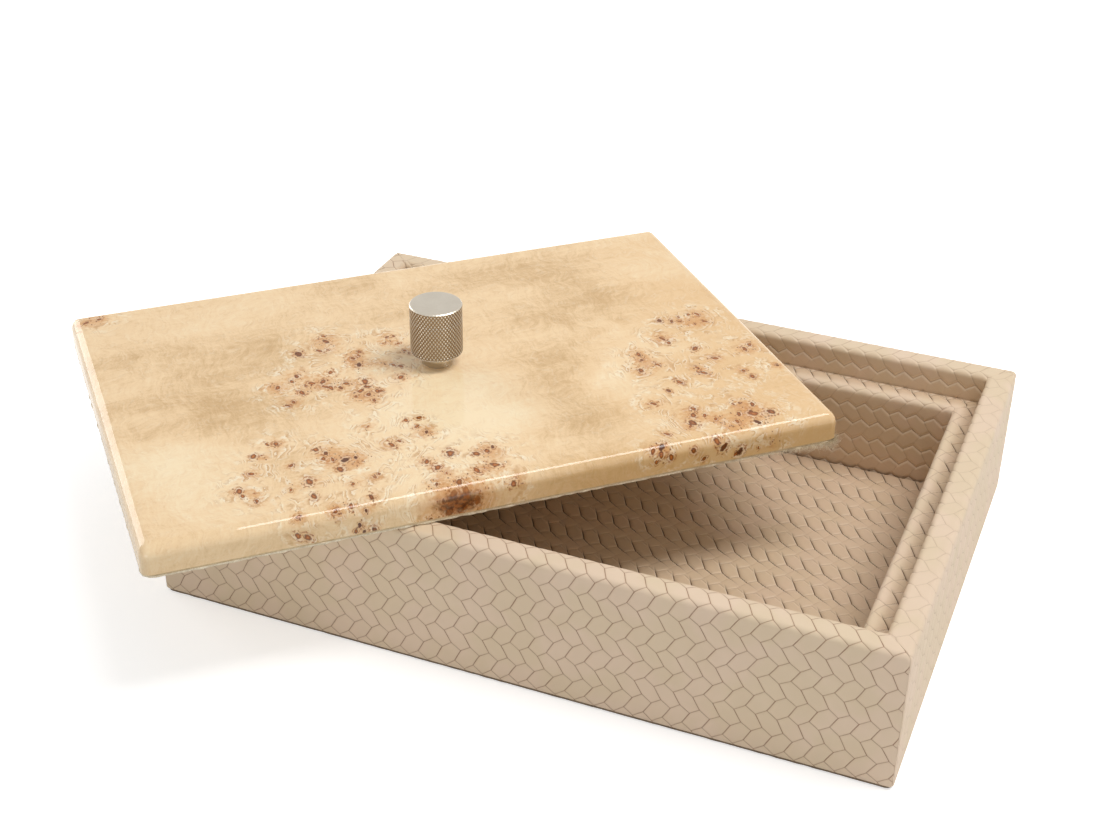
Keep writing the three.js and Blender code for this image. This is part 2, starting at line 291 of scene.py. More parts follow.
def fold(u, v, width=1):
    """How strongly the folds between braids show, from 0 to 1, for arrays or wires in mm.

    A fold follows a parting and runs on along the next zigzag. With s the distance beside it over its steep
    or gentle side's width, and t the distance from its middle over its reach, it is
    1 / (1 + s^2)^2 / (1 + t^6). The given width scales both sides' widths.
    """
    run = ROW_HEIGHT - ZIGZAG
    drop = (v - ZIGZAG / 2 + FOLD_LEAD) % (2 * ROW_HEIGHT) - FOLD_LEAD
    shift = larger(drop * (CELL_LEAN / run), (drop - run) * (CELL_PITCH / 2 / ZIGZAG) + CELL_LEAN)
    side = (u - shift) % CELL_PITCH - CELL_PITCH / 2
    beside = larger(side * (-1 / FOLD_STEEP / width), side * (1 / FOLD_GENTLE / width))
    near = 1 / (beside * beside + 1)
    away = (drop - FOLD_MIDDLE) / FOLD_REACH
    away = away * away
    return near * near / (away * away * away + 1)


def emboss(u, v, shoulder, relief, fold_depth, swell):
    """How deep the pressed surface lies below a cell's crown.

    A cell rises over its rounded shoulder as f (2 - f), where f is the distance from the groove over the
    shoulder's width. Where the rows swell, the partings are shallower. The folds lie deeper still.
    """
    zigzag, parting = herringbone(u, v)
    rise = np.clip(smaller(zigzag, parting + swell) / shoulder, 0, 1)
    return (1 - rise * (2 - rise)) * relief + fold(u, v) * fold_depth


def hand_laid(u, v):
    """The pattern's place on leather stretched by hand: slow waves move it by up to half a millimetre."""
    moved_u = u + 0.3 * np.sin(0.11 * u + 0.07 * v) + 0.2 * np.sin(0.31 * v - 0.05 * u + 1)
    moved_v = v + 0.25 * np.sin(0.09 * u - 0.12 * v + 2) + 0.15 * np.sin(0.27 * u + 3)
    return moved_u, moved_v


def leather_material():
    """Groove lines in brown with darker dots where they meet, folds painted dark as shade, painted
    highlights on the folds' lit shoulders and the cells' edges, painted shade near the grooves, faint
    mottling and a fine grain.

    The attributes press, fold and swell say how strongly lines, folds and the cells' rounded edges show.
    Fold and swell also darken the leather of the floor, ledge and inner faces as painted shade.
    """
    tree = Nodes(bpy.data.materials.new("embossed_leather"))
    u, v = tree.pattern()
    zigzag, parting = herringbone(u, v)
    press, softness, swell = (tree.field(name) for name in ("press", "fold", "swell"))
    # The folds' core. The colour paints it dark as shade, and the bump sinks it.
    folded = softness * fold(u, v, 0.3)
    # Painted highlight: the fold shifted a little to the left marks the lit shoulder beside each fold. The
    # bump raises it too.
    lit_shoulder = softness * fold(u + 0.55, v, 0.42)
    place = tree.place()
    mottle = tree.noise(place, 90, 3)
    patches = tree.noise(place, 45, 2)
    wear = tree.noise(place, 260, 2)
    grain = tree.noise(place, 2600, 2, 0.6)
    creases = tree.noise(tree.join(u + v * 0.55, v * 0.22), 1.3, 3, 0.6)
    partings = tree.fall(parting, 0.05, 0.26) * (0.9 - swell * 0.6)
    lines = larger(partings, tree.fall(zigzag, 0.04, 0.24) * 0.65)
    dots = tree.fall(zigzag + parting, 0.12, 0.5)
    lines = larger(lines * (0.4 + 0.8 * wear), dots * 0.85) * press
    # Painted shade that darkens the leather close to the grooves.
    band = tree.fall(smaller(zigzag, parting), 0.1, 0.9) * press
    # Painted highlight along the cells' edges beside the zigzag lines.
    edges = tree.rise(zigzag, 0.15, 0.35) - tree.rise(zigzag, 0.5, 1.1)
    colour = tree.tint((234, 210, 185), [
        (tree.rise(patches, 0.4, 0.6), (230, 209, 179)),
        (mottle * 0.5, (219, 194, 164)),
        # Painted shade: fold and swell darken the floor, ledge and inner faces, where the compartment lies
        # in shade.
        (softness * 0.3, (212, 183, 152)),
        (swell * 0.32, (190, 158, 120)),
        (band * 0.12, (198, 164, 130)),
        (lines * 0.95, (124, 70, 32)),
        # Painted highlights on the folds' lit shoulders and on the swollen cells' edges.
        (larger(lit_shoulder * 0.7, edges * swell * 0.4), (248, 228, 202)),
        # Painted shade in and beside the folds, on their side away from the light.
        (softness * fold(u, v, 0.9) * 0.3, (136, 106, 76)),
        (folded * 0.95, (84, 50, 26)),
    ])
    nearest = smaller(zigzag, parting + swell * 0.7)
    pressed = tree.rise(nearest, 0, 0.4) * 0.14 + tree.rise(nearest, 0, 1.1) * swell * 0.3
    creased = creases * softness * 0.12 + (lit_shoulder - folded * 2) * 0.15
    height = pressed + grain * 0.02 + mottle * 0.02 + creased
    return tree.surface(colour, 0.52 + 0.12 * grain, 0.8, height, {"Specular IOR Level": 0.35})


leather = leather_material()


def make_piece(name, points, faces, material, body, uv=None, sharp=50, attributes=None):
    """A mesh object from points in mm and lists of equal-sided faces, with every face turned outward.

    The signed volume under all faces, a sum of triple products of fans, is positive when they face out.
    """
    points = np.asarray(points, float).reshape(-1, 3)
    fans = [
        np.stack((face[:, 0], face[:, i], face[:, i + 1]), 1)
        for face in faces for i in range(1, face.shape[1] - 1)
    ]
    corners = points[np.concatenate(fans)]
    volume = np.einsum("ij,ij->", corners[:, 0], np.cross(corners[:, 1], corners[:, 2]))
    if volume < 0:
        faces = [face[:, ::-1] for face in faces]
    loops = np.concatenate([face.ravel() for face in faces]).astype(np.int32)
    sizes = np.concatenate([np.full(len(face), face.shape[1]) for face in faces])
    mesh = bpy.data.meshes.new(name)
    mesh.vertices.add(len(points))
    mesh.vertices.foreach_set("co", (points * MM).ravel())
    mesh.loops.add(len(loops))
    mesh.loops.foreach_set("vertex_index", loops)
    mesh.polygons.add(len(sizes))
    mesh.polygons.foreach_set("loop_start", (np.cumsum(sizes) - sizes).astype(np.int32))
    mesh.polygons.foreach_set("use_smooth", np.ones(len(sizes), bool))
    mesh.update(calc_edges=True)
    mesh.set_sharp_from_angle(angle=radians(sharp))
    if uv is not None:
        layer = mesh.uv_layers.new(name="pattern")
        layer.data.foreach_set("uv", np.asarray(uv, np.float32).reshape(-1, 2)[loops].ravel())
    for key, values in (attributes or {}).items():
        numbers = mesh.attributes.new(key, "FLOAT", "POINT")
        numbers.data.foreach_set("value", values.astype(np.float32).ravel())
    mesh.materials.append(material)
    piece = bpy.data.objects.new(name, mesh)
    bpy.context.collection.objects.link(piece)
    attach(piece, body)
    return piece


def grid_faces(rows, columns, wrap_rows=False, wrap_columns=False):
    """The quads of a grid of vertices that are numbered row by row; a wrapped side joins last to first."""
    numbers = np.arange(rows * columns).reshape(rows, columns)
    if wrap_rows:
        numbers = np.vstack((numbers, numbers[:1]))
    if wrap_columns:
        numbers = np.hstack((numbers, numbers[:, :1]))
    quads = (numbers[:-1, :-1], numbers[:-1, 1:], numbers[1:, 1:], numbers[1:, :-1])
    return np.stack(quads, -1).reshape(-1, 4)


def grid_rim(rows, columns):
    """The numbers of the vertices round the edge of such a grid."""
    numbers = np.arange(rows * columns).reshape(rows, columns)
    return np.concatenate((numbers[0], numbers[1:, -1], numbers[-1, -2::-1], numbers[-2:0:-1, 0]))


def ring_faces(first, second):
    """The quads between two closed rings of as many vertices each."""
    return np.stack((second, np.roll(second, -1), np.roll(first, -1), first), 1)


def rounded_path(corners, step):
    """Points a step apart along straight lines whose corners (x, y, radius) are rounded by arcs."""
    places = [np.array(corner[:2], float) for corner in corners]
    track = [places[0]]
    for before, here, after, corner in zip(places, places[1:], places[2:], corners[1:]):
        come = (before - here) / np.linalg.norm(before - here)
        leave = (after - here) / np.linalg.norm(after - here)
        radius = corner[2]
        centre = here + (come + leave) * radius
        bend = np.linspace(0, pi / 2, 13)[:, None]
        track.extend(centre - leave * radius * np.cos(bend) - come * radius * np.sin(bend))
    track.append(places[-1])
    track = np.array(track)
    lengths = np.concatenate(([0], np.cumsum(np.linalg.norm(np.diff(track, axis=0), axis=1))))
    stops = np.linspace(0, lengths[-1], int(lengths[-1] / step) + 1)
    return np.stack([np.interp(stops, lengths, track[:, i]) for i in (0, 1)], 1), stops


# Leather skins of the walls and of the inner frame
# Each side's leather is one skin, glued to its board and wrapped over the rim, and the skins meet in mitred
# seams at the corners. The inner frame's skins cover the ledge and the compartment's sides.
BOX_LENGTH, BOX_WIDTH, BOX_HEIGHT = 300, 213, 60
LEDGE = 47.2
RIM, LINER_OUT, LINER_IN = 11, 12, 22
FINE_STEP = 0.7
SEAM_GAP = 0.08
SEAM_DIP, SEAM_REACH = 0.12, 0.7
OUTER_CORNER, LEAST_CORNER, INNER_CORNER = 1.2, 0.02, 2.2
INNER_FROM, INNER_RUN = 6, 5
EDGE_ROUND = 2.5
FOLD_DEPTH = 0.4
# Each side's name, turn, length and distance from the middle, where the pattern starts on its wall and on
# its inner frame, and how strongly the wall's lines show
SIDES = [
    ("front", 0, BOX_LENGTH, BOX_WIDTH / 2, (-35.4, 9), (0, 0), 1),
    ("right", 90, BOX_WIDTH, BOX_LENGTH / 2, (-10.9, 0.6), (8.2, 6.7), 0.25),
    ("back", 180, BOX_LENGTH, BOX_WIDTH / 2, (89.3, 7.4), (97.6, 7.8), 0.45),
    ("left", 270, BOX_WIDTH, BOX_LENGTH / 2, (0, 0), (0, 0), 1),
]


def turned(x, y, angle):
    """A place in plan, turned about the upright by an angle."""
    return x * cos(angle) - y * sin(angle), x * sin(angle) + y * cos(angle)


def corner_radius(depth):
    """Radius in plan at a depth from the outer face: it shrinks from the outer corner, then grows."""
    growth = np.clip((depth - INNER_FROM) / INNER_RUN, 0, 1)
    return np.maximum(np.maximum(OUTER_CORNER - depth, LEAST_CORNER), INNER_CORNER * growth)


def leather_skin(name, node, side, outer, stops, inner, zero, phase, profile):
    """A skin whose closed section runs along one side: the pressed outer path, then the plain inner one.

    Along the side, a point goes straight and then round an arc of the corner's radius, up to the mitre.
    The profile holds relief, shoulder, fold depth, line strength and swell at the outer path's points.
    """
    turn, length, reach = radians(side[1]), *side[2:4]
    count = int(length / FINE_STEP)
    share = np.linspace(-1, 1, count)
    tangent = np.gradient(outer, axis=0)
    tangent /= np.linalg.norm(tangent, axis=1, keepdims=True)
    normal = np.stack((-tangent[:, 1], tangent[:, 0]), 1)
    half = length / 2 - SEAM_GAP
    limit = half - outer[:, 0] - corner_radius(outer[:, 0]) * (1 - pi / 4)
    along = share[None, :] * limit[:, None]
    path = (stops - zero)[:, None] * np.ones_like(along)
    pattern_x, pattern_y = turned(along, path, turn)
    u, v = hand_laid(pattern_x - phase[0], -pattern_y - phase[1])
    seam = (1 - abs(share[None, :])) * limit[:, None]
    relief, shoulder, fold_depth, press, swell = (column[:, None] for column in profile.T)
    depth = emboss(u, v, shoulder, relief, fold_depth, swell)
    depth += SEAM_DIP * np.exp(-((seam / SEAM_REACH) ** 2))
    section = outer[:, None, :] - depth[..., None] * normal[:, None, :]
    plain = np.repeat(np.array(inner, float)[:, None, :], count, 1)
    section = np.concatenate((section, plain))
    radius = corner_radius(section[..., 0])
    straight = half - section[..., 0] - radius
    reached = np.minimum(abs(share[None, :]) * (straight + radius * pi / 4), straight + radius * pi / 4)
    angle = np.clip((reached - straight) / radius, 0, pi / 4)
    x = np.sign(share) * (np.minimum(reached, straight) + radius * np.sin(angle))
    y = section[..., 0] + radius * (1 - np.cos(angle)) - reach
    points = np.stack((*turned(x, y, turn), section[..., 1]), -1)
    blank = ((0, len(inner)), (0, 0))
    uv = np.stack((np.pad(u, blank), np.pad(v, blank)), -1)
    ends = np.arange(len(section))[None, :] * count
    faces = [grid_faces(len(section), count, wrap_rows=True), ends, ends + count - 1]
    strengths = {"press": press, "fold": np.minimum(fold_depth / FOLD_DEPTH, 1), "swell": swell}
    attributes = {key: np.pad(values * np.ones_like(u), blank) for key, values in strengths.items()}
    piece = make_piece(name, points, faces, leather, "box_body", uv, attributes=attributes)
    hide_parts(node)


# Sections hold depth from the outer face and height, and a radius where a corner can be rounded.
WALL_CORNERS = [
    (1.05, 1, 0), (0, 1, 1), (0, BOX_HEIGHT, EDGE_ROUND), (RIM, BOX_HEIGHT, EDGE_ROUND), (RIM, 44, 0),
]
WALL_INNER = [
    (RIM, 35.2), (10, 35.2), (10, 57.5), (9.56, 58.56), (8.5, 59), (2.5, 59), (1.44, 58.56), (1, 57.5),
    (1, 2), (20, 2), (20, 1),
]
LINER_CORNERS = [(LINER_OUT, LEDGE, 0), (LINER_IN, LEDGE, EDGE_ROUND), (LINER_IN, 6, 0)]
LINER_INNER = [
    (21, 6), (21, 44.7), (20.56, 45.76), (19.5, 46.2), (12, 46.2), (12, 35.2), (11.1, 35.2), (11.1, 46.4),
    (11.4, 46.9),
]

# Kinds of leather: relief, shoulder, fold depth, line strength and swell
FLAT = (0.15, 1.5, 0, 1, 0)
PLUMP = (0.3, 1.5, 0.06, 0.45, 1)
GATHERED = (0.6, 1.2, 0.5, 0.5, 0.8)
SMOOTH = (0.2, 1.6, 0, 0.4, 0.1)
FOOT_FADE = 2

wall_path, wall_stops = rounded_path(WALL_CORNERS, FINE_STEP)
outside = slice(0, len(wall_path) // 2)
rim_level = np.interp(BOX_HEIGHT - EDGE_ROUND, wall_path[outside, 1], wall_stops[outside]) + EDGE_ROUND
wall_profile = np.stack([np.interp(wall_path[:, 0], [8.5, 10.8], pair) for pair in zip(FLAT, PLUMP)], 1)
wall_profile[:, 0] *= np.clip((wall_path[:, 1] - FOOT_FADE) / FOOT_FADE, 0, 1)
liner_path, liner_stops = rounded_path(LINER_CORNERS, FINE_STEP)
ledge_level = (LINER_IN - LINER_OUT) - EDGE_ROUND + EDGE_ROUND * (pi / 2 - 1)
liner_bands = zip(GATHERED, GATHERED, SMOOTH, SMOOTH, PLUMP)
liner_profile = np.stack([np.interp(liner_stops, [0, 3.5, 6.5, 9, 13], band) for band in liner_bands], 1)
for side in SIDES:
    name, wall_phase, liner_phase, press = side[0], *side[4:]
    leather_skin(name + "_wall_skin", name + "_wall_leather", side, wall_path, wall_stops, WALL_INNER,
                 rim_level, wall_phase, wall_profile * (1, 1, 1, press, 1))
    leather_skin(name + "_liner_skin", name + "_liner_leather", side, liner_path, liner_stops, LINER_INNER,
                 ledge_level, liner_phase, liner_profile)


# Floor leather of the compartment
# One sheet of the same leather, glued to the floor card between the inner frame's sides. Its herringbone
# runs along the box, and its cells are pressed deeper than on the walls.
FLOOR_TOP = 8
FLOOR_STEP = 0.67
FLOOR_RELIEF, FLOOR_SHOULDER = 0.25, 1.6
FLOOR_STRETCH = 1.032
FLOOR_PHASE = (67.2, -6.45)
FLOOR_STRENGTHS = {"press": 0.25, "fold": 1, "swell": 0.6}
floor_low, floor_high = (np.array(corner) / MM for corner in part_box("floor_leather"))
floor_x, floor_y = np.meshgrid(
    np.arange(floor_low[0], floor_high[0] + 0.01, FLOOR_STEP),
    np.arange(floor_low[1], floor_high[1] + 0.01, FLOOR_STEP),
)
floor_u, floor_v = hand_laid(floor_x - FLOOR_PHASE[0], -floor_y * FLOOR_STRETCH - FLOOR_PHASE[1])
floor_swell = FLOOR_STRENGTHS["swell"]
floor_z = FLOOR_TOP - emboss(floor_u, floor_v, FLOOR_SHOULDER, FLOOR_RELIEF, FOLD_DEPTH, floor_swell)
rows, columns = floor_x.shape
rim = grid_rim(rows, columns)
under = rows * columns + np.arange(len(rim))
top_points = np.stack((floor_x, floor_y, floor_z), -1).reshape(-1, 3)
low_points = top_points[rim] * (1, 1, 0) + (0, 0, floor_low[2])
floor_uv = np.stack((floor_u, floor_v), -1).reshape(-1, 2)
floor_leather = make_piece(
    "floor_leather_sheet",
    np.concatenate((top_points, low_points)),
    [grid_faces(rows, columns), ring_faces(rim, under), under[None, :]],
    leather, "box_body",
    np.concatenate((floor_uv, floor_uv[rim])),
    attributes={key: np.full(len(top_points) + len(rim), share) for key, share in FLOOR_STRENGTHS.items()},
)
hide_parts("floor_leather")


# Boards and cards of the box
# Fibreboard walls, inner frame and bottom, and grey bookbinding card under the floor leather and the base.
# The leather hides them, apart from their faces seen where a skin ends.
def pulp_material(name, pale, dark, scale):
    """Pressed fibre: flecks of two sizes in two close colours, with a faint tooth."""
    tree = Nodes(bpy.data.materials.new(name))
    place = tree.place()
    coarse = tree.noise(place, scale, 4, 0.7)
    fine = tree.noise(place, scale * 6, 2, 0.6)
    colour = tree.mix(tree.rise(coarse * 0.6 + fine * 0.4, 0.35, 0.65), dark, pale)
    return tree.surface(colour, 0.8 + 0.15 * fine, 0.4, fine * 0.1, {})


def refinish(names, material):
    """Gives CAD nodes a material in place of their plain one."""
    for name in names:
        for place in nodes[name].material_slots:
            place.material = material


fibreboard = pulp_material("fibreboard", (186, 152, 112), (142, 108, 72), 700)
grey_card = pulp_material("grey_card", (160, 152, 142), (118, 112, 104), 900)
board_names = [side[0] + kind for side in SIDES for kind in ("_wall_board", "_liner_board")]
refinish(board_names + ["bottom_board", "lid_core"], fibreboard)
refinish(["floor_card", "base_infill_card"], grey_card)


# Felt under the box
# A brown felt glued over the whole underside, cut a little inside the leather's edge. It shows as a thin
# dark line along the foot of the walls.
def soft_material(name, pale, dark, scale):
    """Short matted hairs: streaked noise in two colours, with a rough nap."""
    tree = Nodes(bpy.data.materials.new(name))
    place = tree.place()
    combed = {"Vector": place, "Rotation": (0, 0, 0.6), "Scale": (1, 0.2, 1)}
    hairs = tree.noise(tree.add("Mapping", {}, combed), scale, 3, 0.7)
    mats = tree.noise(place, scale * 0.12, 3)
    colour = tree.mix(tree.rise(hairs * 0.7 + mats * 0.3, 0.35, 0.68), dark, pale)
    return tree.surface(colour, 0.85 + 0.15 * hairs, 0.9, hairs * 0.25, {"Sheen Weight": 0.3})


def outline_loop(length, width, radius, count):
    """Points round a rectangle with rounded corners, a corner and a side at a time, and where they face."""
    pieces, facing = [], []
    arc = max(6, int(count * radius * pi / 2 / (length + width)))
    for quarter in range(4):
        angle = quarter * pi / 2 + np.linspace(0, pi / 2, arc)
        heading = np.stack((np.cos(angle), np.sin(angle)), 1)
        centre = np.sign(heading[1]) * (length / 2 - radius, width / 2 - radius)
        pieces.append(centre + radius * heading)
        facing.append(heading)
        run = width if quarter % 2 else length
        ahead = np.array([-heading[-1, 1], heading[-1, 0]])
        steps = max(2, int(count * run / (2 * (length + width))))
        between = (run - 2 * radius) * np.arange(1, steps)[:, None] / steps
        pieces.append(pieces[-1][-1] + ahead * between)
        facing.append(np.repeat(heading[-1:], steps - 1, 0))
    return np.concatenate(pieces), np.concatenate(facing)


def wavy(count, seed, waves):
    """A closed line of small heights: a sum of cosines whose strengths and phases are seeded."""
    chance = np.random.default_rng(seed)
    share = np.linspace(0, 2 * pi, count, endpoint=False)
    parts = [chance.normal() * np.cos(number * share + chance.uniform(0, 2 * pi)) for number in waves]
    return sum(parts) / sqrt(len(parts))


# Level of each ring from the cloth's underside, and how far it stands out
CLOTH_RINGS = [(0, -0.25), (0.12, -0.05), (0.5, 0), (0.88, -0.05), (1, -0.25)]


def cloth_plate(length, width, radius, count, unevenness, seed):
    """Points and faces of a cloth 1 mm thick with an uneven edge: rings between a flat top and bottom."""
    loop, facing = outline_loop(length, width, radius, count)
    edge = wavy(len(loop), seed, range(7, 190, 4)) * unevenness
    points = [np.column_stack((loop + facing * (outset + edge)[:, None], np.full(len(loop), level)))
              for level, outset in CLOTH_RINGS]
    faces = grid_faces(len(CLOTH_RINGS), len(loop), wrap_columns=True)
    first = np.arange(len(loop))
    last = (len(CLOTH_RINGS) - 1) * len(loop) + first
    return np.concatenate(points), [faces, first[None, ::-1], last[None, :]]


FELT_INSET, FELT_CORNER = 0.15, 2.4
felt_low, felt_high = (np.array(corner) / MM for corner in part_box("base_felt"))
felt_size = felt_high - felt_low
felt_material = soft_material("brown_felt", (150, 128, 104), (110, 92, 72), 2200)
felt_plan = felt_size[:2] - 2 * FELT_INSET
felt_points, felt_faces = cloth_plate(*felt_plan, FELT_CORNER, 900, 0.06, 3)
felt = make_piece("base_felt_sheet", felt_points, felt_faces, felt_material, "box_body")
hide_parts("base_felt")


# Burl veneer of the lid
# One thick skin of pale poplar burl over the top, its rounded arris and the four edges, under clear gloss
# lacquer. Its knots lie in clusters of orange-brown patches with small dark eyes and pale curls round them.
LID_LENGTH, LID_WIDTH = 276.8, 186.4
LID_TURN = radians(43)
LID_PLACE = np.array([-72.2, -8.8, 60.3])
LID_TOP = 13.4
LID_ARRIS = 5
LID_FOOT = 1.6
VENEER = 0.6
BURL_STEP = 0.8
ARRIS_STEPS, EDGE_STEPS = 8, 6
CORNER_FULLNESS = 0.14
RIDGE = 0.2


def place_on_lid(points):
    """Turns points of the lid's own frame about the upright and moves them to where the lid lies."""
    x, y, z = np.moveaxis(points, -1, 0)
    return np.stack((*turned(x, y, LID_TURN), z), -1) + LID_PLACE


# Knots from the lid's middle: place along its length and across it, radius and strength
KNOTS = [
    (-126.7, 85.6, 4, 0.9), (-132.6, 84, 4, 0.9), (-39.2, 33.3, 6.5, 0.7), (-40.2, 25.6, 4, 0.6),
    (-52.6, 26.3, 2.2, 1), (-13.6, 28.3, 4, 0.6), (-16.9, 23.3, 2.5, 0.6), (-10.6, 21.3, 2.5, 0.6),
    (-9.9, 14.3, 3, 0.6), (-28.2, 19.6, 4, 0.6), (-32.2, 15, 3.5, 0.7), (-31.2, 9, 4.5, 0.8),
    (-17.9, 4, 4, 0.6), (-22.2, 7.3, 2.5, 0.6), (-57.9, 8, 5, 0.7), (-67.2, 1.3, 4.5, 1),
    (-43.9, 6.6, 4, 0.3), (-48.9, 0, 5, 0.6), (-53.9, -1.4, 3, 0.6), (-46.9, -6, 2, 0.6),
    (-58.9, -5.7, 1.8, 0.7), (-32.6, -5.4, 5, 0.6), (-17.9, -7, 4, 0.6), (-63.9, -12, 4.5, 0.7),
    (-39.2, -16, 4, 0.6), (-33.9, -16, 5, 0.6), (-33.2, -21.4, 3, 0.6), (-40.2, -4.5, 1.5, 0.8),
    (-43.2, -7.2, 1.5, 0.8), (-28.2, -15, 1.2, 0.8), (-77.6, -40.7, 4, 0.6), (-83.9, -49, 2.5, 0.6),
    (-87.6, -46.7, 1.8, 0.6), (-90.9, -58.4, 3, 0.6), (-75.6, -57.7, 3, 0.6), (-40.9, -40, 3, 0.6),
    (-25.6, -40.4, 1.4, 0.8), (-20.2, -40.4, 1.4, 0.8), (-22.9, -46.4, 1.5, 0.8), (-20.6, -51.7, 4, 1),
    (-35.9, -56, 4.5, 0.6), (-61.2, -53.7, 5.5, 0.7), (-59.9, -59, 5, 0.7), (-51.2, -60.4, 5, 1),
    (-53.6, -64.4, 2.5, 1), (-58.9, -66.5, 2, 0.8), (-97.6, -68.7, 4, 0.6), (-92.6, -71.7, 2.5, 0.6),
    (-92.9, -77, 3, 0.6), (-71.9, -71, 5, 0.5), (-79.6, -74, 3, 0.3), (-56.9, -77.7, 3, 0.6),
    (-48.2, -76, 3.5, 0.6), (-72.6, -81, 2, 0.6), (-26.9, -72.4, 4, 0.6), (-16.6, -69.7, 2.2, 0.7),
    (-24.2, -77.4, 2, 0.7), (-22.2, -82.4, 2.5, 0.7), (-2.9, -72.7, 5.5, 1), (-3.2, -83, 5, 0.8),
    (-10.9, -84.4, 2.2, 0.8), (-27.9, -88.4, 4, 0.9), (-80.9, -91, 3, 0.7), (-67.2, -91.7, 3.5, 0.9),
    (-61.2, -91, 1.5, 0.8), (-52.9, -88.4, 2, 0.8), (-56.2, -93.7, 2.5, 0.9), (-17.9, -93.7, 7, 1),
    (0.8, -94.4, 4, 0.8), (110.4, -0.7, 4.5, 0.8), (120.4, 3.3, 4, 0.7), (120.8, -4, 4, 0.7),
    (115.8, -5, 3, 0.7), (102.4, 3, 1.5, 0.8), (96.8, -12.4, 5, 0.7), (81.8, -22, 4.5, 0.7),
    (81.1, -26.9, 3, 0.7), (106.4, -25.4, 2, 0.7), (85.8, -32.7, 4, 0.6), (77.4, -35, 5, 0.6),
    (129.8, -29.7, 3.5, 0.7), (126.1, -32.7, 4, 0.7), (110.8, -35.7, 4, 0.6), (100.4, -40.7, 4, 0.5),
    (101.1, -45.4, 4, 0.7), (88.4, -49, 2, 0.8), (81.4, -54, 1.5, 0.8), (117.4, -49.4, 2.5, 0.7),
    (118.8, -55, 1.6, 0.8), (132.8, -50, 2.5, 0.8), (71.4, -61.7, 4, 0.6), (82.8, -75, 6.5, 0.7),
    (77.8, -82.7, 2.5, 1), (89.8, -80.7, 3, 0.8), (67.1, -84.7, 1.5, 0.8), (104.1, -72.7, 3.5, 0.7),
    (105.8, -82, 9, 0.8), (97.1, -85.4, 4, 0.9), (105.8, -80.4, 4, 0.9), (93.8, -88, 2.5, 1),
    (61.1, -94.7, 4, 0.7), (-82, -98.5, 1.5, 0.6), (-78.5, -100, 1.9, 0.9), (-59, -99, 1.1, 0.9),
    (-60.5, -101.5, 1.1, 0.8), (-57.5, -102.5, 1.2, 1), (-53.5, -102.5, 1.8, 1), (-32, -103, 3, 1),
    (-27, -96, 1.2, 1), (-19, -100, 8, 1), (58, -92.5, 1.3, 0.9), (62, -91.5, 1.9, 1),
    (65.3, -96.3, 1.5, 1), (74.8, -95.4, 1.4, 1), (79.5, -100, 1.1, 0.7), (85, -93.5, 1.9, 0.9),
    (87.8, -96.5, 2.1, 1), (95, -100, 1.9, 1), (93, -101, 1, 0.5), (103.2, -100, 1, 0.6),
    (109, -98.5, 2.6, 1),
]
# Clouds in the wood: middle, half widths and depth, below 0 where the wood is paler
CLOUDS = [
    (-108, -3, 28, 30, 0.9), (-60, 36, 14, 16, 0.5), (72, 52, 28, 28, 0.4), (42, -62, 15, 22, 0.8),
    (46, -18, 18, 18, 0.6), (80, 28, 18, 14, 0.6), (0, -42, 24, 28, -0.8), (-116, -38, 18, 32, -0.8),
    (62, -40, 12, 15, -0.7), (0, 70, 40, 14, 0.3), (120, 60, 16, 26, -0.3),
]
CLOUD_SOFTNESS = 1.6
LONE_EYE, EYES_PER_MM = 1.6, 1.6
EYE_SPACING, EYE_CLEARANCE = 1.1, 0.6


def scatter_eyes():
    """The oval eyes of all knots, each as its middle, half width, half length, lean and darkness.

    A small knot is one eye. A larger one holds several, at seeded places round its middle, and one that
    comes too close to an earlier eye is left out.
    """
    chance = np.random.default_rng(8)
    eyes = []
    for centre_x, centre_y, radius, strength in KNOTS:
        count = 1 + int(EYES_PER_MM * max(radius - LONE_EYE, 0))
        for number in range(count):
            heading, reach = chance.uniform(0, 2 * pi), radius * chance.uniform(0.35, 0.95) * (number > 0)
            x, y = centre_x + reach * cos(heading), centre_y + reach * sin(heading)
            length = radius * 0.9 if count == 1 else min(radius, 5) * chance.uniform(0.22, 0.42)
            width = length * chance.uniform(0.45, 0.75)
            apart = [np.hypot(x - eye[0], y - eye[1]) - EYE_SPACING * (length + eye[3]) for eye in eyes]
            if number == 0 or min(apart) > EYE_CLEARANCE:
                lean = chance.normal(0, 0.5)
                eyes.append((x, y, width, length, lean, strength * chance.uniform(0.45, 1.1)))
    return eyes


SMEAR = (-21, -98, 16, 8)
EDGE_FADE = 3


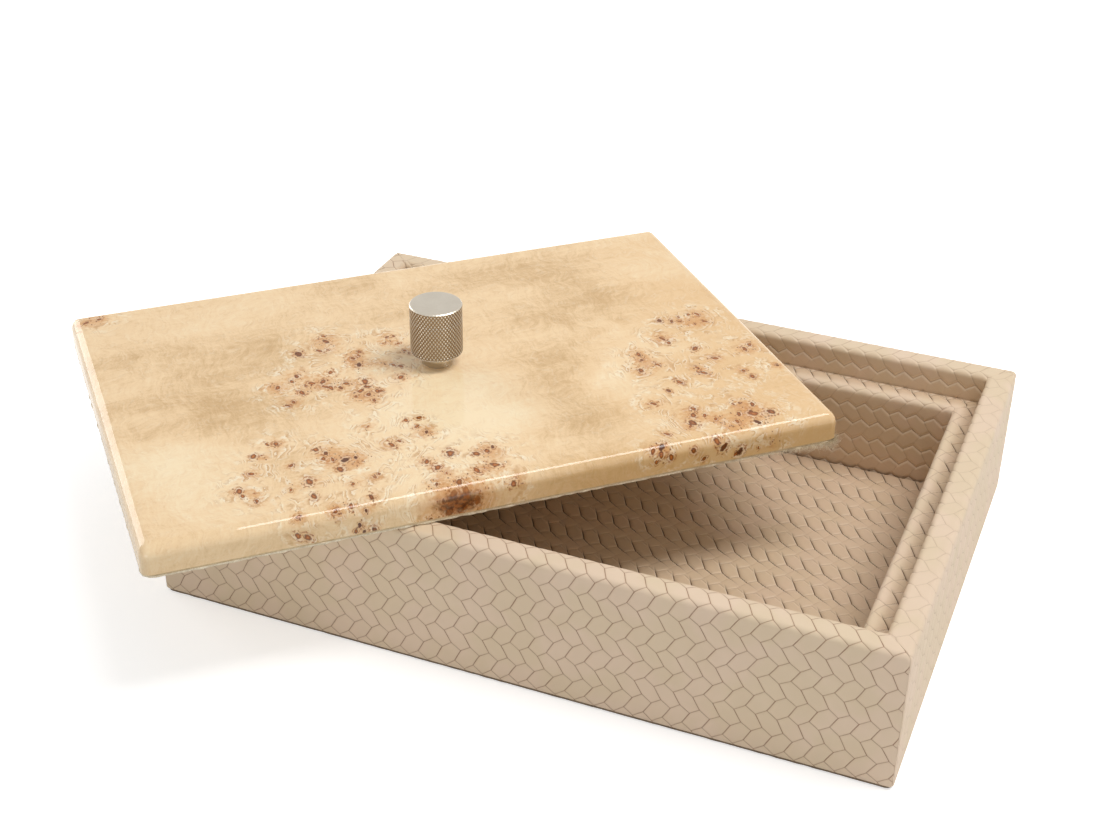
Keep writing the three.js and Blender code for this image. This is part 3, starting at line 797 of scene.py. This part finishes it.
def burl_fields(x, y):
    """Fields that tell the finish where each point lies among the knots and clouds, and on top or edge.

    gap is the smallest distance from an eye's middle in its half axes, and eye_x, eye_y and tone belong to
    that eye. blush joins a bell round each knot, near is the sum of wider bells, and push draws the grain
    in toward each knot, so that its lines pass round it. cloud is a sum of bells, one for each cloud. smear
    is 1 in the middle of the front edge's stain, and edge is 1 on the lid's edges.
    """
    names = ("eye_x", "eye_y", "tone", "blush", "near", "push_x", "push_y", "cloud")
    fields = {name: np.zeros_like(x) for name in names}
    fields["gap"] = np.full_like(x, 9.0)
    for centre_x, centre_y, width, length, lean, tone in scatter_eyes():
        across, along = turned(x - centre_x, y - centre_y, -lean)
        across, along = across / width, along / length
        gap = np.hypot(across, along)
        closer = gap < fields["gap"]
        for name, value in (("eye_x", across), ("eye_y", along), ("tone", tone), ("gap", gap)):
            fields[name] = np.where(closer, value, fields[name])
    for centre_x, centre_y, radius, strength in KNOTS:
        away_x, away_y = x - centre_x, y - centre_y
        away = np.hypot(away_x, away_y)
        bell = np.exp(-((away / (radius + 1.2)) ** 2)) * (0.3 + 0.7 * strength)
        fields["blush"] = 1 - (1 - fields["blush"]) * (1 - bell)
        wide = np.exp(-((away / (1.8 * radius + 2)) ** 2))
        fields["near"] += wide
        fields["push_x"] += away_x / (away + 0.8) * radius * wide
        fields["push_y"] += away_y / (away + 0.8) * radius * wide
    for middle_x, middle_y, width, length, depth in CLOUDS:
        away = ((x - middle_x) / width) ** 2 + ((y - middle_y) / length) ** 2
        fields["cloud"] += depth * np.exp(-away / CLOUD_SOFTNESS)
    fields["cloud"] = np.clip(fields["cloud"], -1, 1)
    fields["smear"] = 1 - np.hypot((x - SMEAR[0]) / SMEAR[2], (y - SMEAR[1]) / SMEAR[3])
    overhang = np.maximum(abs(x) - LID_LENGTH / 2, abs(y) - LID_WIDTH / 2)
    fields["edge"] = np.clip(overhang / EDGE_FADE, 0, 1)
    return fields


def burl_surface():
    """The burl skin as one grid that covers the top and is folded down over arris and edges.

    On the flat top a vertex is where its grid place is. Beyond it, the larger of its two overhangs gives
    how far it has gone along the section, a quarter arc and then straight down, and the ratio of the two
    gives its heading, so that corner blocks fan out. The lacquer stands up in a thin ridge down the middle
    of each corner, where two edge veneers meet.
    """
    flat = np.array([LID_LENGTH, LID_WIDTH]) - 2 * LID_ARRIS
    cells = (flat / BURL_STEP).astype(int)
    steps = ARRIS_STEPS + EDGE_STEPS
    place = np.stack(np.meshgrid(*(np.arange(-steps, count + steps + 1) for count in cells)), -1)
    over = np.maximum(np.maximum(-place, place - cells), 0)
    gone = over.max(-1, keepdims=True)
    ratio = over.min(-1, keepdims=True) / np.maximum(gone, 1) * pi / 4
    heading = np.where(over[..., :1] >= over[..., 1:], ratio, pi / 2 - ratio)
    quadrant = np.sign(place - cells / 2) * (gone > 0)
    toward = np.concatenate((np.cos(heading), np.sin(heading)), -1) * quadrant
    fullness = 1 + CORNER_FULLNESS * np.sin(2 * heading) ** 2
    bend = np.minimum(gone / ARRIS_STEPS, 1) * pi / 2
    drop = np.maximum(gone - ARRIS_STEPS, 0) / EDGE_STEPS * (LID_TOP - LID_ARRIS - LID_FOOT)
    base = np.clip(place, 0, cells) / cells * flat - flat / 2
    ridge = RIDGE * (over[..., :1] == over[..., 1:]) * (gone > 2)
    out = LID_ARRIS * np.sin(bend) * fullness + ridge
    z = LID_TOP - LID_ARRIS * (1 - np.cos(bend)) - drop
    points = np.concatenate((base + toward * out, z), -1)
    unrolled = base + toward * (LID_ARRIS * bend + drop)
    return points, unrolled, base, toward * fullness


INNER_SHARES = (1, 0.8, 0.45, 0.07)
burl_points, burl_plan, burl_base, burl_toward = burl_surface()
rows, columns = burl_plan.shape[:2]
rim = grid_rim(rows, columns)
inner_arris = LID_ARRIS - VENEER
inner_levels = [LID_TOP - LID_ARRIS + inner_arris * sqrt(1 - share**2) for share in INNER_SHARES]
inner_rings = []
for share, level in zip((1, *INNER_SHARES), (LID_FOOT, *inner_levels)):
    ring = (burl_base + burl_toward * share * inner_arris).reshape(-1, 2)[rim]
    inner_rings.append(np.column_stack((ring, np.full(len(rim), level))))
inner_numbers = rows * columns + np.arange(len(inner_rings) * len(rim)).reshape(-1, len(rim))
burl_rings = [rim, *inner_numbers]
burl_faces = [
    grid_faces(rows, columns), *map(ring_faces, burl_rings, burl_rings[1:]), burl_rings[-1][None, :],
]
burl_all = np.concatenate([burl_points.reshape(-1, 3)] + inner_rings)
plan_all = np.concatenate([burl_plan.reshape(-1, 2)] + [ring[:, :2] for ring in inner_rings])


def burl_material():
    """Burl under gloss lacquer.

    The ground is pale wood with tan clouds, streaks, ripples and curved figure lines that pass round the
    knots. A knot is an orange-brown patch with pale and brown rings, in which dark pins and small eyes with
    a brown outline and short arcs lie. A ragged brown stain lies at the front edge. The lid's edges are
    tinted darker than its top as painted shade.
    """
    tree = Nodes(bpy.data.materials.new("gloss_burl"))
    x, y = tree.pattern()

    def noise_at(first, second, layer, detail=3, roughness=0.55):
        return tree.noise(tree.join(first, second, layer), 1, detail, roughness) - 0.5

    cloud, blush, near, gap, tone, side = (
        tree.field(name) for name in ("cloud", "blush", "near", "gap", "tone", "edge")
    )
    stray, drift = noise_at(x * 0.6, y * 0.6, 0), noise_at(x * 0.6, y * 0.6, 40)
    sway = noise_at(x * 0.03, y * 0.03, 9)
    flow_x, flow_y = x - tree.field("push_x") + sway * 30, y - tree.field("push_y") + sway * 20

    broad = noise_at(x * 0.02 + sway * 2, y * 0.035, 3, 4)
    streak = noise_at(flow_x * 0.5 + stray * 0.6, flow_y * 0.1, 5, 4, 0.65)
    ripple = noise_at(flow_x * 0.1, flow_y * 0.5 + drift * 0.6, 7, 3, 0.6)
    fleck = noise_at(x * 1.3, y * 1.1, 21, 3, 0.7)
    shade = cloud * 0.54 + broad * 1.1 + streak * 0.7 + ripple * 0.4 + fleck * 0.4

    figure = tree.rise(near, 0.05, 0.7)
    curl = noise_at(flow_x * 0.15, flow_y * 0.07, 12, 2, 0.35) * 8 + near * 0.5 + stray * 0.9
    layer = curl % 1
    broken = tree.rise(noise_at(x * 0.16, y * 0.16, 30, 3), -0.08, 0.1)
    flush = tree.rise(blush + stray * 1.3, 0.2, 0.95) * (0.68 - side * 0.3)
    golden = side * tree.rise(x + streak * 60, -60, 60)
    turns = near * 4 + stray * 9 + drift * 4
    rings = turns.math("SINE", turns)
    rim = tree.fall(abs(gap + drift - 1.5), 0.1, 0.5) * broken
    arc = tree.fall(abs(gap + drift * 3 - 1.8), 0.08, 0.5) * tree.rise(stray, -0.05, 0.06)

    eye_place = tree.join(tree.field("eye_x") + stray * 1.6, tree.field("eye_y") + drift * 1.6)
    oval = tree.add("VectorMath", {"operation": "LENGTH"}, {0: eye_place}, 1)
    inside = tree.fall(gap, 1.2, 1.35)
    dark = tree.rise(tone, 0.45, 0.95)
    eye = tree.mix(dark, (156, 82, 24), (84, 38, 10))
    chance = tree.noise(tree.join(x, y), 0.9, 0)
    outline = tree.fall(abs(oval - 0.92), 0.06, 0.26) * inside
    heart = tree.fall(oval, 0.2, 0.55) * inside * (1 - dark)
    cell_place = tree.join(x * 0.7 + stray * 0.7, y * 0.45 + drift * 0.7)
    cells = tree.add("TexVoronoi", {}, {"Vector": cell_place, "Scale": 1, "Randomness": 0.9})
    pin = tree.fall(cells, 0.16, 0.26) * tree.rise(blush + chance * 0.6, 0.72, 0.84)
    smear = tree.field("smear") + stray * 0.5 + streak * 0.5
    stain = tree.mix(tree.rise(drift, -0.1, 0.15), (72, 30, 4), (150, 82, 26))

    colour = tree.tint((255, 232, 192), [
        (tree.rise(shade, -0.5, 0.1), (247, 214, 168)),
        (tree.rise(shade, -0.05, 0.6), (210, 172, 120)),
        (tree.rise(x - y * 0.5 + broad * 120, 50, 140) * 0.45, (226, 180, 120)),
        (tree.rise(layer, 0.35, 0.97) * (0.08 + 0.54 * figure) * broken, (196, 146, 92)),
        (tree.fall(layer, 0, 0.45) * (0.12 + 0.5 * figure) * broken, (255, 246, 224)),
        (flush, (214, 150, 82)),
        # Painted shade: the lid's edges are darker than its top.
        (side * 0.2, (184, 160, 108)),
        (golden * 0.25, (210, 168, 96)),
        (tree.rise(rings, 0.2, 0.9) * figure * broken * 0.4, (255, 240, 208)),
        (tree.rise(rings * -1, 0.6, 1) * blush * broken * 0.5, (186, 108, 46)),
        (rim * 0.3, (255, 240, 214)),
        (arc * 0.7, (160, 88, 34)),
        (tree.fall(oval, 0.75, 0.95) * inside * 0.95, eye),
        (outline * (0.45 + 0.5 * chance), (90, 42, 12)),
        (heart * 0.5, (220, 140, 66)),
        (pin * 0.8, (112, 48, 4)),
        (tree.rise(smear, -0.25, 0.35) * 0.45, (200, 134, 70)),
        (tree.rise(smear, 0.25, 0.7) * 0.85, stain),
    ])
    lacquer = {"Specular IOR Level": 0, "Coat Weight": 0.6, "Coat Roughness": 0.02, "Coat IOR": 1.6}
    return tree.surface(colour, 0.4 + 0.1 * fleck, 0.12, fleck * 0.02, lacquer)


burl = make_piece(
    "lid_burl_skin", place_on_lid(burl_all), burl_faces, burl_material(), "lid", plan_all, 40,
    burl_fields(*plan_all.T),
)
edge_veneers = [f"lid_{name}_edge_veneer" for name in ("front", "back", "left", "right")]
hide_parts("lid_top_veneer", *edge_veneers)


# Lining and backing under the lid
# A plain veneer balances the burl, and a pale napped cloth is glued over it, cut flush with the edges. Its
# raw edge has frayed, so short curly hairs stand out under the burl, most at one corner.
backing = pulp_material("plain_backing", (214, 190, 150), (186, 158, 118), 350)
refinish(["lid_backing_veneer"], backing)
lining_cloth = soft_material("napped_lining", (250, 238, 212), (212, 196, 166), 1800)
LINING_INSET, LINING_CORNER = 0.1, 5
lining_points, lining_faces = cloth_plate(
    LID_LENGTH - 2 * LINING_INSET, LID_WIDTH - 2 * LINING_INSET, LINING_CORNER, 1100, 0.22, 11,
)
lining = make_piece(
    "lid_lining_cloth", place_on_lid(lining_points), lining_faces, lining_cloth, "lid",
)
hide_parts("lid_lining")

HAIRS = 1800
HAIR_ROWS, HAIR_SIDES = 5, 3
HAIR_RADIUS = 0.07
HAIR_LENGTHS = (0.7, 2.6)
FRAYED_REACH = 22


def frayed_hairs():
    """Short curly hairs round the lining's edge: arcs that leave it outward and curl along it and down.

    A hair is a row of small triangles along its arc; heading, length and curl are seeded for each hair.
    """
    chance = np.random.default_rng(21)
    loop, facing = outline_loop(LID_LENGTH - 1, LID_WIDTH - 1, LINING_CORNER, 4000)
    corner = np.array([LID_LENGTH / 2, -LID_WIDTH / 2])
    nearness = np.exp(-np.linalg.norm(loop - corner, axis=1) / FRAYED_REACH)
    weight = 0.1 + 6 * nearness + 0.2 * (wavy(len(loop), 5, range(3, 60, 3)) > 0.6)
    chosen = chance.choice(len(loop), HAIRS, p=weight / weight.sum())
    root, heading = loop[chosen], facing[chosen]
    along = np.stack((-heading[:, 1], heading[:, 0]), 1)
    length = chance.uniform(*HAIR_LENGTHS, HAIRS) * (0.5 + 2.2 * nearness[chosen])
    curl = chance.normal(0, 1.1, HAIRS)
    droop = chance.uniform(-0.15, 0.35, HAIRS)
    share = np.linspace(0, 1, HAIR_ROWS)[None, :]
    out = np.sin(share * pi * 0.6) * length[:, None] * 0.6
    slide = curl[:, None] * share**2 * length[:, None] * 0.5
    middle = root[:, None, :] + heading[:, None, :] * out[..., None] + along[:, None, :] * slide[..., None]
    start = chance.uniform(0.25, 0.8, HAIRS)[:, None]
    fall = droop[:, None] * share * length[:, None] * (0.5 + 2 * nearness[chosen, None])
    z = np.clip(start - fall, 0.1 - 4 * nearness[chosen, None], 1.2)
    thin = HAIR_RADIUS * (1 - 0.7 * share)
    angle = np.arange(HAIR_SIDES) * 2 * pi / HAIR_SIDES
    sideways = along[:, None, None, :] * (np.cos(angle)[None, None, :] * thin[..., None])[..., None]
    upright = np.sin(angle)[None, None, :] * thin[..., None]
    ground = middle[:, :, None, :] + sideways
    return np.concatenate((ground, (z[..., None] + upright)[..., None]), -1)


hair_points = frayed_hairs()
one_hair = grid_faces(HAIR_ROWS, HAIR_SIDES, wrap_columns=True)
hair_size = HAIR_ROWS * HAIR_SIDES
firsts = np.arange(HAIRS)[:, None, None] * hair_size
hair_ends = np.array([[2, 1, 0], [hair_size - 3, hair_size - 2, hair_size - 1]])
hair_faces = [(one_hair[None] + firsts).reshape(-1, 4), (hair_ends[None] + firsts).reshape(-1, 3)]
hairs = make_piece(
    "lid_lining_fray", place_on_lid(hair_points.reshape(-1, 3)), hair_faces, lining_cloth, "lid",
)


# Knob with its washer and screw
# Turned from one bar of nickel-plated metal: a plain neck, and a head whose side is knurled with small
# diamonds between two bright chamfers. A screw through a washer holds it from below.
KNOB_RADIUS, NECK_RADIUS = 11, 7
FOOT_RADIUS, FOOT_ROUND = 6.3, 0.8
SEAT_RADIUS = 4.6
KNURL_ROUND = 46
KNURL_RISE = 2
KNURL_DEPTH = 0.42
PER_DIAMOND = 8
HEAD_LOW = LID_TOP + 6
HEAD_HIGH = LID_TOP + 27.6
CHAMFER = 0.5
FOOT_CHAMFER = 0.25


def knob_surface():
    """The knob as a profile turned about its axis; on the head's side the radius falls by the knurl.

    The knurl is the smaller of two triangle waves that climb the side to the left and to the right.
    """
    side_rows = int((HEAD_HIGH - HEAD_LOW - CHAMFER - FOOT_CHAMFER) / KNURL_RISE * PER_DIAMOND)
    side_z = np.linspace(HEAD_LOW + FOOT_CHAMFER, HEAD_HIGH - CHAMFER, side_rows)
    profile = np.array([
        (SEAT_RADIUS, LID_TOP),
        *((FOOT_RADIUS - FOOT_ROUND * cos(bend), LID_TOP + FOOT_ROUND * sin(bend))
          for bend in np.linspace(0, pi / 2, 5)),
        (FOOT_RADIUS + 0.3, LID_TOP + 2.6), (NECK_RADIUS, LID_TOP + 3.4), (NECK_RADIUS, HEAD_LOW - 0.3),
        (NECK_RADIUS + 0.4, HEAD_LOW), (KNOB_RADIUS - 1.2, HEAD_LOW),
        (KNOB_RADIUS - FOOT_CHAMFER, HEAD_LOW + 0.02),
        *((KNOB_RADIUS, level) for level in side_z),
        (KNOB_RADIUS - CHAMFER, HEAD_HIGH - 0.05), (KNOB_RADIUS - CHAMFER - 0.12, HEAD_HIGH),
        *((radius, HEAD_HIGH) for radius in (9, 6, 3, 1)),
    ])
    turn = np.linspace(0, 2 * pi, KNURL_ROUND * PER_DIAMOND, endpoint=False)[None, :]
    height = profile[:, 1:2]
    climb = (height - HEAD_LOW) / KNURL_RISE
    waves = [abs((turn / (2 * pi) * KNURL_ROUND + way * climb) % 1 - 0.5) * 2 for way in (1, -1)]
    knurl = np.minimum(*waves)
    on_side = (profile[:, 0:1] == KNOB_RADIUS) * 1.0
    ends = np.clip((HEAD_HIGH - CHAMFER - height) / 0.3, 0, 1)
    groove = (1 - knurl) * on_side * (0.4 + 0.6 * ends)
    radius = profile[:, 0:1] - KNURL_DEPTH * groove
    height = np.broadcast_to(height, radius.shape)
    return np.stack((radius * np.cos(turn), radius * np.sin(turn), height), -1), groove


def metal_material(name, pale, dark, roughness, streak):
    """Plated metal: a two-tone noise for the plating's unevenness, fine turning marks in the gloss, and
    painted shade in the knurl's grooves.
    """
    tree = Nodes(bpy.data.materials.new(name))
    place = tree.place()
    squeezed = tree.add("Mapping", {}, {"Vector": place, "Scale": (1, 1, streak)})
    marks = tree.noise(squeezed, 900, 3, 0.7)
    cloud = tree.noise(place, 160, 3)
    # Painted shade: the knurl's grooves are darkened to a warm brown.
    groove = tree.rise(tree.field("groove"), 0.2, 0.9)
    colour = tree.tint(dark, [(cloud * 0.5 + marks * 0.5, pale), (groove * 0.85, (116, 92, 62))])
    return tree.surface(colour, roughness + 0.12 * marks, 0.15, marks * 0.03, {"Metallic": 1})


satin_nickel = metal_material("satin_nickel", (212, 204, 190), (186, 176, 160), 0.26, 6)
zinc_steel = metal_material("zinc_steel", (190, 192, 194), (160, 162, 164), 0.34, 4)
knob_points, knob_groove = knob_surface()
rows, columns = knob_points.shape[:2]
knob_ends = [np.arange(columns)[None, ::-1], ((rows - 1) * columns + np.arange(columns))[None, :]]
knob = make_piece(
    "knurled_knob", place_on_lid(knob_points), [grid_faces(rows, columns, wrap_columns=True)] + knob_ends,
    satin_nickel, "lid", sharp=38, attributes={"groove": knob_groove},
)
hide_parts("knob")
refinish(["knob_washer", "knob_screw"], zinc_steel)
